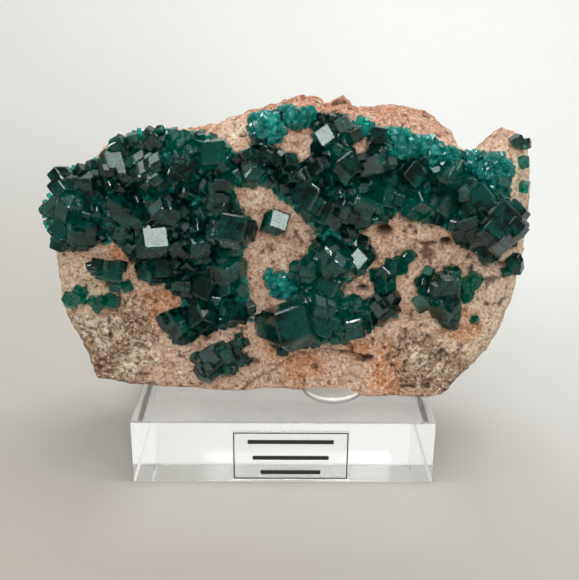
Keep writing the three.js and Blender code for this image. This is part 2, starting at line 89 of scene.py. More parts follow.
# The lower edge of a layer that hangs over, its depth, and the pits: x, z, radius, depth
LEDGE = [(-7.5, 11.5), (-5.5, 13.2), (-1.2, 15.8), (2.2, 18.6), (6, 19.7), (11, 19.2), (15.5, 17.9)]
LEDGE_STEP = 1.6
PITS = [(16.6, 40.6, 1.5, 2.2), (13.3, 30.6, 1.2, 1.4), (26.8, 38.8, 1.2, 1.5), (22.6, 32, 1, 1.3)]
BREAKS = [  # the planes of the broken back: slopes along x and z, and y at x = 0 and the break's level
    (0.01, 0, 10.8), (0.11, -0.1, 11.7), (-0.1, -0.08, 11.4), (0.03, -0.3, 12.4), (-0.03, 0.26, 12),
]
BREAK_LEVEL = 36
LEFT_END = TOP_EDGE[0][0]
RIGHT_END = TOP_EDGE[-1][0]
EYE = np.array((-0.5, -146.0, 81.7))
SIGHT_PLANE = {"y": -10.0, "z": 11.4}
SIGHT_STEPS = 12  # in which a seen place is found on the rock's face

# How finely the rock is divided here: stations along X, rows up the front, over the top and down the back
ROCK_GRID = {"stations": 300, "front": 190, "top": 12, "back": 84}
GRAIN = [(0.2, 1.3), (0.15, 0.6), (0.07, 0.3)]  # the rock's relief: height and size of its lumps
RELIEF = {"crest": 0.3, "crest_from": (51, 57), "grey": 0.35, "hollow": 0.35, "crack": 1.6}
PIT_FLATNESS = 0.7
SPOT_EDGE = (0.7, 1.25)  # where a spot of colour starts to fade and where it ends, in radii

# Where the rock's colour changes, as seen: x, z, radius. The rest is pinkish tan.
RUST_SPOTS = [
    (18.5, 16, 4.5), (13, 20, 3), (3, 16.5, 3.5), (-1, 21, 2.5), (-20, 27, 4), (30, 24.5, 3.5),
    (-27, 37, 2.5),
]
CREAM_SPOTS = [
    (-8.2, 56.6, 2.4), (-7.6, 58.6, 1.5), (-29.5, 23.5, 2.6), (-34, 24, 2), (-24, 19, 2.6), (-27, 16, 2),
    (-0.4, 35, 1.1), (-31, 20.5, 1.6), (23, 18, 1.6), (27, 16, 1.4), (-5, 46.6, 1.6),
]
GREY_SPOTS = [(-30, 18, 7.5), (-27, 24, 5), (24, 17, 5.5), (28, 15.5, 4.5), (22, 21, 2.6), (-35, 22, 4)]
BEIGE_SPOTS = [(34, 28, 9), (36, 50, 6), (30, 19, 6), (38, 38, 6), (-36, 32, 5)]


def between(low, high, share):
    return (1 - share) * low + share * high


def smoothstep(v, low, high):
    t = np.clip((v - low) / (high - low), 0, 1)
    return t * t * (3 - 2 * t)


def lattice(i, j, k):
    s = np.sin(i * 127.1 + j * 311.7 + k * 74.7) * 43758.5453
    return 2 * (s - np.floor(s)) - 1


def noise(x, y, z):
    """Smooth lattice noise from -1 to 1."""
    place = [np.asarray(c, float) for c in np.broadcast_arrays(x, y, z)]
    cell = [np.floor(c) for c in place]
    blend = [smoothstep(c - f, 0, 1) for c, f in zip(place, cell)]
    total = 0
    for corner in range(8):
        step = [corner & 1, corner >> 1 & 1, corner >> 2 & 1]
        weight = 1
        for s, b in zip(step, blend):
            weight = weight * (b if s else 1 - b)
        total = total + weight * lattice(*(f + s for f, s in zip(cell, step)))
    return total


def lumps(points, size, shift=(0, 0, 0)):
    """The same noise at points, in lumps of one size."""
    return noise(*(points / size + shift).T)


def line_at(points, x):
    xs, ys = zip(*points)
    return np.interp(x, xs, ys)


def fall_back(distance, radius):
    """How far a face falls back at a distance from an edge that is rounded to a radius."""
    s = np.clip(1 - distance / radius, 0, 1)
    return radius * (1 - np.sqrt(1 - s * s))


def edge_drop(x, z, top_round):
    foot = line_at(FOOT_EDGE, x)
    foot_round = between(ROCK["foot_round"], top_round, smoothstep(foot - ROCK["base"], 0, 3))
    top = fall_back(line_at(TOP_EDGE, x) - z, top_round)
    side = fall_back(np.minimum(x - LEFT_END, RIGHT_END - x), ROCK["side_round"])
    return np.sqrt(top**2 + fall_back(z - foot, foot_round) ** 2 + side**2)


def under_ledge(x, z):
    """1 under the overhanging layer of rock, 0 elsewhere."""
    left, right = LEDGE[0][0], LEDGE[-1][0]
    ends = smoothstep(x, left, left + 4) * (1 - smoothstep(x, right - 6, right))
    return ends * smoothstep(line_at(LEDGE, x) - z, -0.4, 0.5)


def front_face(x, z):
    """The rock's front face: y at x, z."""
    foot = line_at(FOOT_LINE, x) * np.maximum(0, 1 - (z - ROCK["base"]) / FOOT_LINE_HEIGHT)
    y = ROCK["front"] + (z - ROCK["base"]) * ROCK["lean"] + foot
    for cx, cz, radius, height in SWELLINGS:
        s = np.minimum(np.hypot(x - cx, z - cz) / radius, 1)
        y = y - height * (1 - s * s) ** 2
    y = y + LEDGE_STEP * under_ledge(x, z)
    y = y + ROCK["lump"] * (noise(x / 5, 3, z / 5) + 0.6 * noise(x / 2.2, 9, z / 2.2))
    return y + edge_drop(x, z, ROCK["top_round"])


def back_face(x, z):
    """The rock's broken back: y at x, z."""
    planes = [y + along_x * x + along_z * (z - BREAK_LEVEL) for along_x, along_z, y in BREAKS]
    lumps = ROCK["back_lump"] * (noise(x / 7, 21, z / 7) + 0.5 * noise(x / 3, 33, z / 3))
    return np.minimum.reduce(planes) + lumps - edge_drop(x, z, ROCK["back_round"])


def crowded(count, share):
    """count + 1 steps from 0 to 1, closer together towards both ends."""
    even = np.linspace(0, 1, count + 1)
    return between(even, (1 - np.cos(np.pi * even)) / 2, share)


def rock_points():
    """The slab's points: stations along X, and at each the points round it from the front foot."""
    x = LEFT_END + (RIGHT_END - LEFT_END) * crowded(ROCK_GRID["stations"] - 1, 0.4)[:, None]
    end_inset = 0.05
    inside = np.clip(x, LEFT_END + end_inset, RIGHT_END - end_inset)
    foot = line_at(FOOT_EDGE, inside)
    top = line_at(TOP_EDGE, inside) + ROCK["crest_lump"] * noise(x / 1.9, 51, 0)
    halfway = (foot + top) / 2
    core = (front_face(inside, halfway) + back_face(inside, halfway)) / 2
    z_front = foot + (top - foot) * crowded(ROCK_GRID["front"], 0.5)[None, :]
    y_front = np.minimum(front_face(inside, z_front), core - ROCK["half_core"])
    z_back = top + (foot - top) * crowded(ROCK_GRID["back"], 0.5)[None, :]
    y_back = np.maximum(back_face(inside, z_back), core + ROCK["half_core"])
    over = np.linspace(0, 1, ROCK_GRID["top"] + 2)[None, 1:-1]
    y_top = y_front[:, -1:] + (y_back[:, :1] - y_front[:, -1:]) * over
    crown = ROCK["crown"] * np.minimum(1, 4 * np.minimum(over, 1 - over))
    z_top = top + crown * (1 + noise(x / 2.4, y_top / 2.4, 77))
    y = np.concatenate([y_front, y_top, y_back], axis=1)
    z = np.concatenate([z_front, z_top, z_back], axis=1)
    return np.stack([np.broadcast_to(x, y.shape), y, z], axis=2)


def as_seen(points):
    """Where the eye sees points on the sight plane: x, z."""
    ray = points - EYE
    reach = SIGHT_PLANE["y"] - EYE[1] + (EYE[2] - SIGHT_PLANE["z"]) * ROCK["lean"]
    share = reach / (ray[..., 1] - ray[..., 2] * ROCK["lean"])
    return EYE[0] + share * ray[..., 0], EYE[2] + share * ray[..., 2]


def seen_place(x, z, stand_out):
    """The place on the front face, or standing out from it, that is seen at x, z on the sight plane."""
    on_plane = np.array((x, SIGHT_PLANE["y"] + (z - SIGHT_PLANE["z"]) * ROCK["lean"], z))
    place = on_plane.copy()
    for _ in range(SIGHT_STEPS):
        inside_x = min(max(place[0], LEFT_END + 1), RIGHT_END - 1)
        inside_z = min(place[2], line_at(TOP_EDGE, inside_x) - 1)
        y = (place[1] + float(front_face(inside_x, inside_z)) - stand_out) / 2
        place = EYE + (on_plane - EYE) * (y - EYE[1]) / (on_plane[1] - EYE[1])
    return Vector(place)


# What the joined crust of crystals covers, as seen: two outlines and the bare rock inside them
CRUST = [
    [
        (-37.2, 36.4), (-39, 39.5), (-39.8, 42.5), (-39.4, 45.6), (-38, 48), (-36.6, 50.4), (-33.8, 51.4),
        (-31, 52.4), (-28.6, 53.9), (-27.6, 56), (-25.4, 56.6), (-23, 57.6), (-19.5, 57.8), (-15.6, 57),
        (-12, 57.2), (-9.8, 56), (-7.6, 53.6), (-5.9, 54.4), (-5.4, 58), (-3.6, 60.2), (0, 60.9),
        (5, 60.2), (9.6, 60), (12, 58.4), (15, 58.4), (18.4, 57.6), (22.8, 56.4), (27, 54.4), (31.6, 54.2),
        (35.4, 54), (37, 50.5), (37, 46.4), (38.6, 46), (40.3, 42.5), (39.4, 39.4), (37.2, 37.6),
        (35.2, 34.8), (32.6, 34.6), (31.6, 36.4), (28.8, 38.4), (26.6, 40.8), (24, 41.6), (20.6, 41.8),
        (18.8, 43.8), (16.6, 41.9), (13.6, 41), (11, 39), (6, 39.5), (4.4, 41.2), (2, 43.2), (0.6, 45),
        (-0.9, 45.3), (-2.2, 47.4), (-6.6, 47.9), (-7.9, 48), (-7.4, 45.8), (-4.4, 41.9), (-5.2, 39.6),
        (-6.6, 36), (-6.2, 33.8), (-5.2, 31.6), (-5.4, 29.4), (-4.2, 27.4), (-5.2, 24.6), (-9, 23.4),
        (-13.4, 22.6), (-15.6, 20.6), (-18.6, 20), (-20.4, 22.6), (-21, 25.8), (-17.6, 27.8),
        (-17.8, 29), (-21, 31.2), (-24.4, 31.8), (-25.2, 34.6), (-27.6, 38.2), (-30.8, 37.6), (-33.4, 37),
    ],
    [
        (5, 42), (11, 42), (14.4, 39), (15.4, 36.6), (13.6, 33.6), (11.6, 32.6), (10.4, 30.4),
        (12.6, 29.4), (15.2, 28.8), (15.6, 31), (14.2, 33.2), (17, 35.6), (20, 37.6), (22.8, 37.8),
        (21.4, 35.6), (18.6, 33), (17.8, 31.2), (19.6, 28.6), (19.8, 25.4), (17.4, 24.8), (14, 22.4),
        (10, 20.6), (5, 20.4), (1, 19.4), (-0.4, 18.8), (-2.8, 21.4), (-5.4, 24.2), (-5.2, 26.4),
        (-2.4, 27), (1, 28.6), (-1.8, 29.4), (-3, 31.4), (-2.6, 33.8), (0.6, 33.8), (2.8, 35.4),
        (4.4, 38.6),
    ],
]
BARE = [
    [(-1.2, 57.6), (2.5, 56.8), (4.2, 57.3), (4.2, 53.6), (2.8, 51.8), (0.3, 53.8), (-1.6, 53.6)],
    [(10.5, 54.6), (12.3, 55.8), (13.8, 54.4), (11.2, 53.5)],
]

# The larger crystals of the crust, as seen: x, z, radius
CRUST_CRYSTALS = [
    (-33, 40.5, 3.4), (-37.6, 40.2, 2.6), (-38.2, 44.4, 2.6), (-36.2, 48.6, 2.8), (-34.6, 44.6, 2.8),
    (-31.8, 48.2, 2.9), (-27.4, 50.4, 2.8), (-26.4, 54, 2.2), (-21.6, 54.8, 2.4), (-16.4, 55, 2.1),
    (-11.5, 53.2, 3.2), (-17, 51, 3), (-22.4, 49.8, 3.2), (-26, 44, 3.1), (-22, 38.7, 2.7),
    (-16, 47, 2.4), (-13.5, 31, 2.9), (-8.4, 40.5, 3.8), (-10.6, 47.4, 2.6), (-5.4, 50, 2.4),
    (-13.8, 38.6, 3), (-19.4, 43.6, 2.9), (-8.6, 34, 2.8), (-18.2, 24.4, 2.6), (-13.6, 26, 2.8),
    (-8.4, 26.6, 2.8), (-4.8, 25.4, 2), (-20.4, 34.2, 2.7), (3.5, 46.5, 3.6), (7.6, 43, 3.2),
    (12.6, 45, 3), (16.8, 46.6, 2.6), (4.6, 51.2, 2.9), (9.5, 51, 3), (14.6, 51, 3), (0.2, 50.8, 2.6),
    (20.9, 50.2, 2.8), (21.4, 45.2, 2.7), (27.2, 50.2, 3), (26, 45.4, 2.8), (30.6, 41.4, 2.9),
    (36, 41.4, 4), (32.6, 46.2, 3), (33, 37.4, 2.2), (6.8, 56, 2.4), (-2.8, 57, 2.9), (1.8, 58.8, 1.8),
    (9.4, 57.4, 2.2), (14.6, 56.4, 2.3), (19.4, 54.8, 2.5), (24, 53.4, 2.2), (34, 51, 2.8),
    (8.5, 38.4, 3.7), (12.6, 36, 2.4), (4, 33.8, 2.5), (-0.4, 31.4, 2.4), (8, 31.6, 3), (1, 24, 4.4),
    (7, 24.4, 2.9), (12, 24.2, 2.9), (16.6, 26.8, 2.7), (7.4, 27.8, 2.7), (16.4, 31.4, 2.3),
    (18.6, 34.4, 1.9), (20.8, 36.4, 1.4),
]
FILL = {"seed": 7, "tries": 6000, "radii": (1.5, 2.5), "spacing": 0.8, "margin": 0.5}

# The crystals that stand clear of the crust, each list one piece, as seen: x, z, radius
GROUPS = {
    "crystals_below": [
        (-12.5, 17.6, 3.1), (-9.8, 18.8, 2.2), (-7.8, 20.8, 1.7), (-7.4, 18.2, 1.7), (-9.6, 16, 1.7),
        (-14.9, 18.2, 1.3),
    ],
    "crystals_right": [
        (24, 33.6, 1.4), (27.3, 31.6, 2.9), (27, 28.2, 3.2), (28, 25.6, 2.1), (23.2, 28.2, 1.9),
        (24.2, 31, 2), (30.4, 31.4, 1.6), (32, 32.4, 1.6), (30.8, 29.4, 1.3),
    ],
    "crystals_left": [(-29, 33.6, 2.7), (-31.2, 34.2, 1.5), (-28.2, 31.2, 1.5), (-26.2, 31, 1.2)],
    "crystals_left_edge": [(-34.4, 29.4, 1.6), (-36, 28.5, 1.5)],
    "crystals_left_foot": [(-31, 28, 1.6), (-28.8, 28.2, 1.5)],
    "crystals_right_edge": [(38.4, 35.2, 1.7), (37, 33.8, 1)],
    "crystals_top_corner": [(37, 55.6, 1.5), (38.3, 55.1, 1.1)],
    "crystal_tablet": [(-1.7, 42.2, 2)],
    "crystal_corner_upper": [(38.4, 52.2, 1.1)],
    "crystal_corner_lower": [(38.8, 48.2, 1.3)],
    "crystal_small_right": [(32.5, 25.3, 1)],
}

# How a crystal is built: the slope of its end faces, its prism length and tilt, and how deep it sits
CRYSTAL = {
    "end_slope": math.tan(math.radians(50.9)), "radius_share": 0.95, "stretches": (-0.25, 0.25),
    "widest_tilt": math.radians(75), "stand_out": 0.3, "clearance": 0.3,
}
# The small crystals that only this script adds, between the large ones and as a carpet under them
BETWEEN = {"seed": 11, "tries": 16000, "radii": (0.9, 2.0), "spacing": 0.58, "margin": 0.3}
CARPET = {"seed": 13, "tries": 40000, "radii": (0.35, 0.8), "spacing": 0.6, "margin": 1.1}
# Small crystals heaped over a round lump, their number that of a lump of the full radius
HEAP = {
    "seed": 17, "crystals": 70, "full_radius": 2.5, "radii": (0.35, 0.75), "flatness": 0.75,
    "reaches": (0.75, 0.95), "stretches": (-0.2, 0.2),
}
HIGHEST_SEEN = 62  # no crystal is seen above this z
BEVEL = 0.07  # of a crystal's radius
# How far from the crust's edges a crystal is kept, in radii, and the steps that move it in
EDGE = {"outer_reach": 1.05, "inner_reach": 0.75, "steps": 3, "longest_step": 0.7}
SATELLITES = {
    "from_radius": 1.4, "most": 5, "radii": (0.35, 0.7), "heights": (-0.7, 0.7), "reach": 1.02,
    "sunk": 0.55, "stretch": 0.3,
}
# Where the large crystals are clearer and more teal, as seen: x, z, radius
PALE_SPOTS = [
    (7, 30, 9), (4, 33, 6), (-5.6, 47.5, 3), (-6, 33.5, 4.5), (14.5, 45.5, 3.4), (22, 44.5, 3.4),
    (-38.5, 41.5, 3.4), (34, 49, 4), (19.5, 36, 4.5), (-11.5, 54, 3.6), (31.4, 31.5, 2.6), (-17, 56.5, 3.5),
    (8, 23, 4), (-30, 29, 5), (34, 29, 4), (28, 54, 6), (-35.5, 29, 4), (38.5, 50, 5), (-36, 46, 2),
]
# Where the crust is a carpet of small bright crystals only, as seen: x, z, radius
SPARKLING = [
    (-3.4, 57.6, 2.6), (0.5, 59.6, 1.6), (3.5, 59.3, 1.5), (12.6, 57.4, 1.6), (17.5, 55.6, 2.2),
    (22.5, 54.6, 2), (26, 53, 2), (30.4, 51.8, 2.4), (33.6, 50.4, 3.2), (34.4, 47.4, 2), (-1.6, 32, 1.3),
    (0.6, 30.6, 1.5), (-2.6, 33, 0.9), (1.8, 31.6, 1),
]

# The lights in front of the specimen, and two places beside them that a face may mirror
FRONT_LIGHT = (30, -460, 230)
LAMPS = [(-230, -300, 260), (-100, -380, 340), (240, -280, 300), (-330, -120, 180), (330, -100, 220)]
LIGHT_EDGE = (84, -460, 188)
DARK_SIDE = (260, -330, 110)
# Crystals with one face turned to throw such a place at the eye: as seen x, z, the place, the spin about
# the face, the growth and the shift along x and z
FACING = [
    (-1.7, 42.2, LIGHT_EDGE, -1.94, 1.32, 0.2, -0.1), (-22, 38.7, FRONT_LIGHT, -1.54, 1.35, 0.3, 0.2),
    (6.8, 56, FRONT_LIGHT, 0.5, 1, 0, 0), (1, 24, DARK_SIDE, 0.3, 1.1, 0, 0),
    (-13.5, 31, DARK_SIDE, 1.2, 1, 0, 0), (20.9, 50.2, DARK_SIDE, 0.9, 1, 0, 0),
    (-11.5, 53.2, DARK_SIDE, 0.2, 1, 0, 0), (12.6, 36, LIGHT_EDGE, 0.7, 1, 0, 0),
]
FACING_REACH, FACING_FROM_RADIUS, FACING_STRETCH = 1.6, 1.5, 0.1
# The other large crystals are spun on until none of their faces throws a light at the eye
GLINT = {
    "from_radius": 1.1, "front": math.cos(math.radians(14)), "lamp": math.cos(math.radians(5.5)),
    "spin": 0.26, "tries": 24,
}


def random_from(seed):
    """Repeatable random numbers from 0 to 1."""
    word = 0xFFFFFFFF
    state = seed

    def draw():
        nonlocal state
        state = (state + 0x6D2B79F5) & word
        t = ((state ^ (state >> 15)) * (1 | state)) & word
        t = ((t + ((t ^ (t >> 7)) * (61 | t))) ^ t) & word
        return (t ^ (t >> 14)) / 2**32

    return draw


def room_in(outline, x, z):
    """How far inside an outline a place is, below zero outside it."""
    inside = np.zeros(np.shape(x), bool)
    nearest = np.full(np.shape(x), np.inf)
    for (x0, z0), (x1, z1) in zip(outline[-1:] + outline[:-1], outline):
        dx, dz = x1 - x0, z1 - z0
        if dz != 0:
            inside ^= ((z1 > z) != (z0 > z)) & (x < dx * (z - z1) / dz + x1)
        share = np.clip(((x - x0) * dx + (z - z0) * dz) / (dx * dx + dz * dz), 0, 1)
        nearest = np.minimum(nearest, np.hypot(x - x0 - share * dx, z - z0 - share * dz))
    return np.where(inside, nearest, -nearest)


def filled(crystals, how, avoid=()):
    """The same crystals, with smaller ones wherever these leave room inside the crust's outlines."""
    random = random_from(how["seed"])
    draws = np.array([random() for _ in range(3 * how["tries"])]).reshape(-1, 3)
    x = between(LEFT_END, RIGHT_END, draws[:, 0])
    z = between(ROCK["base"], HIGHEST_SEEN, draws[:, 1])
    radius = between(*how["radii"], draws[:, 2])
    off_bare = -np.maximum.reduce([room_in(o, x, z) for o in BARE])
    fits = np.zeros(len(x), bool)
    for outline in reversed(CRUST):
        room = room_in(outline, x, z)
        fits = np.where(room > 0, np.minimum(room, off_bare) >= radius * how["margin"], fits)
    for cx, cz, reach in avoid:
        fits &= np.hypot(x - cx, z - cz) > reach
    found = list(crystals)
    far_off = (1e6, 1e6, 0)
    taken = np.array(found or [far_off])
    for place in np.stack([x, z, radius], axis=1)[fits]:
        apart = np.hypot(taken[:, 0] - place[0], taken[:, 1] - place[1]) / (taken[:, 2] + place[2])
        if apart.min() >= how["spacing"]:
            found.append(tuple(place))
            taken = np.vstack([taken, place])
    return found


def crystal_form():
    """One crystal's corners for a radius of 1 and no prism, the end each belongs to, and its faces."""
    slope = CRYSTAL["end_slope"]
    corners = [(0, 0, slope), (0, 0, -slope)]
    side = [1, -1]
    for k in range(6):
        x, y = math.cos(k * math.pi / 3), math.sin(k * math.pi / 3)
        above, below = (slope / 2, 0) if k % 2 else (0, slope / 2)
        corners += [(x, y, above), (x, y, -below)]
        side += [1, -1]
    upper = [2 + 2 * k for k in range(6)]
    lower = [3 + 2 * k for k in range(6)]
    faces = [(lower[k], lower[(k + 1) % 6], upper[(k + 1) % 6], upper[k]) for k in range(6)]
    for k in (0, 2, 4):
        faces.append((0, upper[k - 1], upper[k], upper[k + 1]))
        faces.append((1, lower[(k + 2) % 6], lower[k + 1], lower[k]))
    return np.array(corners), np.array(side), faces


FORM_CORNERS, FORM_SIDE, FORM_FACES = crystal_form()
# Which way each face looks, taken from a crystal whose prism is long enough to have sides
LONG_PRISM = FORM_CORNERS + np.outer(FORM_SIDE, (0, 0, 1))
FORM_NORMALS = [normal_of([Vector(LONG_PRISM[i]) for i in face[:3]]) for face in FORM_FACES]


def crystal_corners(crystal):
    """The corners of one crystal, given as its place, turn, radius and stretch."""
    place, turn, radius, stretch = crystal
    local = FORM_CORNERS.copy()
    local[:, 2] += FORM_SIDE * stretch
    return (local * radius) @ np.array(turn.to_matrix()).T + np.array(place)


def kept_inside(spots):
    """The same crystals, moved in so far that none reaches much past the edge of the crust."""
    outlines = CRUST + BARE
    reaches = [EDGE["outer_reach"]] + [EDGE["inner_reach"]] * (len(outlines) - 1)
    reach = np.repeat(reaches, [len(o) for o in outlines])
    starts = np.array([corner for o in outlines for corner in o], float)
    ends = np.array([corner for o in outlines for corner in o[1:] + o[:1]], float)
    along = ends - starts
    moved = []
    for x, z, radius in spots:
        here = np.array((x, z), float)
        for _ in range(EDGE["steps"]):
            share = np.clip(((here - starts) * along).sum(1) / (along**2).sum(1), 0, 1)
            gaps = here - starts - along * share[:, None]
            rooms = np.hypot(*gaps.T)
            nearest = (rooms - reach * radius).argmin()
            lacking = reach[nearest] * radius - rooms[nearest]
            if lacking > 0:
                step = min(lacking, EDGE["longest_step"])
                here = here + gaps[nearest] / max(rooms[nearest], 0.01) * step
        moved.append((here[0], here[1], radius))
    return moved


def settled(spots, seed, sink=0.0):
    """Crystals at seen spots, their long way tilted at random from straight out of the rock."""
    random = random_from(seed)
    crystals = []
    for x, z, radius in spots:
        tilt = CRYSTAL["widest_tilt"] * math.sqrt(random())
        around = math.tau * random()
        spin = math.tau * random()
        stretch = between(*CRYSTAL["stretches"], random())
        aside = math.sin(tilt)
        axis = Vector((aside * math.cos(around), -math.cos(tilt), aside * math.sin(around)))
        turn = Vector((0, 0, 1)).rotation_difference(axis) @ Quaternion((0, 0, 1), spin)
        stand_out = CRYSTAL["clearance"] + radius * CRYSTAL["stand_out"] - sink
        faced = faces_a_light(x, z, radius)
        if faced:
            _, _, lamp, face_spin, growth, shift_x, shift_z = faced
            place = seen_place(x + shift_x, z + shift_z, stand_out)
            turn = facing(place, lamp, face_spin)
            radius, stretch = radius * growth, FACING_STRETCH
        else:
            place = seen_place(x, z, stand_out)
            if radius > GLINT["from_radius"]:
                turn = turned_away(place, turn)
        crystals.append((place, turn, radius * CRYSTAL["radius_share"], stretch))
    return crystals


def heaped(spots):
    """Small crystals heaped up over round lumps, in place of one large crystal each."""
    random = random_from(HEAP["seed"])
    crystals = []
    for x, z, radius in spots:
        middle = seen_place(x, z, CRYSTAL["clearance"])
        for _ in range(int(HEAP["crystals"] * (radius / HEAP["full_radius"]) ** 2)):
            height = random()
            around = math.tau * random()
            reach = math.sqrt(1 - height * height)
            out = Vector((reach * math.cos(around), -height * HEAP["flatness"], reach * math.sin(around)))
            spin = Quaternion((random() - 0.5, random() - 0.5, random() - 0.5), math.tau * random())
            size = between(*HEAP["radii"], random())
            grown = radius * between(*HEAP["reaches"], random())
            stretch = between(*HEAP["stretches"], random())
            crystals.append((middle + out * grown, spin, size, stretch))
    return crystals


def faces_a_light(x, z, radius):
    """The entry of the crystal seen at x, z among those that face a light, if it is one of them."""
    for entry in FACING:
        gap = math.hypot(x - entry[0] - entry[5], z - entry[1] - entry[6])
        if radius > FACING_FROM_RADIUS and gap < FACING_REACH:
            return entry
    return None


def mirror_normal(place, lamp):
    """Which way a face at a place looks when it throws a lamp's light at the eye."""
    return ((Vector(EYE) - place).normalized() + (Vector(lamp) - place).normalized()).normalized()


def facing(place, lamp, spin):
    """A turn that lets one end face throw a lamp's light at the eye."""
    normal = mirror_normal(place, lamp)
    face = Vector((CRYSTAL["end_slope"], 0, 1)).normalized()
    return Quaternion(normal, spin) @ face.rotation_difference(normal)


def turned_away(place, turn):
    """The turn, spun on about the crystal's length until no face throws a light at the eye."""
    limits = [(mirror_normal(place, FRONT_LIGHT), GLINT["front"])]
    limits += [(mirror_normal(place, lamp), GLINT["lamp"]) for lamp in LAMPS]
    for _ in range(GLINT["tries"]):
        ways = [turn @ way for way in FORM_NORMALS]
        if all(way.dot(normal) < nearest for normal, nearest in limits for way in ways):
            break
        turn = turn @ Quaternion((0, 0, 1), GLINT["spin"])
    return turn


def with_satellites(crystals, seed):
    """Adds to each large crystal a few smaller ones grown parallel to it, which step its faces."""
    random = random_from(seed)
    grown = list(crystals)
    for place, turn, radius, stretch in crystals:
        if radius < SATELLITES["from_radius"] or faces_a_light(*as_seen(np.array(place)), radius):
            continue
        for _ in range(1 + int(random() * SATELLITES["most"])):
            share = between(*SATELLITES["radii"], random())
            around = math.tau * random()
            height = between(*SATELLITES["heights"], random())
            reach = SATELLITES["reach"] - SATELLITES["sunk"] * share
            offset = Vector((math.cos(around), math.sin(around), height)) * radius * reach
            longer = stretch + SATELLITES["stretch"] * random()
            grown.append((place + turn @ offset, turn, radius * share, longer))
    return grown


def smooth_object(name, points, faces):
    mesh = mesh_from(points, faces)
    mesh.shade_smooth()
    return new_object(name, mesh)


def new_object(name, mesh):
    mesh.name = name
    obj = bpy.data.objects.new(name, mesh)
    bpy.context.scene.collection.objects.link(obj)
    return obj


def mesh_from(points, faces):
    mesh = bpy.data.meshes.new("piece")
    mesh.from_pydata((np.asarray(points) * MM).tolist(), [], faces)
    mesh.update()
    return mesh


def joined_crystals(name, crystals):
    """Crystals with slightly rounded edges, joined in one closed mesh."""
    parts = []
    for crystal in crystals:
        bm = bmesh.new()
        corners = [bm.verts.new(corner) for corner in crystal_corners(crystal)]
        for face in FORM_FACES:
            bm.faces.new([corners[i] for i in face])
        offset = BEVEL * crystal[2]
        bmesh.ops.bevel(bm, geom=bm.edges[:], offset=offset, segments=1, profile=0.5, affect="EDGES")
        mesh = bpy.data.meshes.new("part")
        bm.to_mesh(mesh)
        bm.free()
        parts.append(bpy.data.objects.new("part", mesh))
    others = bpy.data.collections.new("others")
    bpy.context.scene.collection.children.link(others)
    for part in parts[1:]:
        others.objects.link(part)
    bpy.context.scene.collection.objects.link(parts[0])
    if len(parts) > 1:
        join = parts[0].modifiers.new("join", "BOOLEAN")
        join.operation, join.operand_type, join.solver = "UNION", "COLLECTION", "MANIFOLD"
        join.collection = others
    evaluated = parts[0].evaluated_get(bpy.context.evaluated_depsgraph_get())
    mesh = bpy.data.meshes.new_from_object(evaluated)
    for part in parts:
        used = part.data
        bpy.data.objects.remove(part)
        bpy.data.meshes.remove(used)
    bpy.data.collections.remove(others)
    corners = np.zeros(len(mesh.vertices) * 3)
    mesh.vertices.foreach_get("co", corners)
    float_attribute(mesh, "pale", spot_mask(PALE_SPOTS, *as_seen(corners.reshape(-1, 3)), 0))
    mesh.transform(Matrix.Scale(MM, 4))
    return new_object(name, mesh)


def loose_crystals(name, crystals):
    """Very small crystals as one mesh of many closed ones."""
    points = np.concatenate([crystal_corners(crystal) for crystal in crystals])
    step = len(FORM_CORNERS)
    faces = [tuple(i + step * n for i in face) for n in range(len(crystals)) for face in FORM_FACES]
    return new_object(name, mesh_from(points, faces))


def float_attribute(mesh, name, values):
    attribute = mesh.attributes.new(name, "FLOAT", "POINT")
    attribute.data.foreach_set("value", np.asarray(values, np.float32).ravel())


def spot_mask(spots, x, z, ragged):
    """1 inside any spot and 0 well outside, with a ragged edge."""
    mask = np.zeros(np.shape(x))
    for cx, cz, radius in spots:
        mask = np.maximum(mask, 1 - smoothstep(np.hypot(x - cx, z - cz) / radius + ragged, *SPOT_EDGE))
    return mask


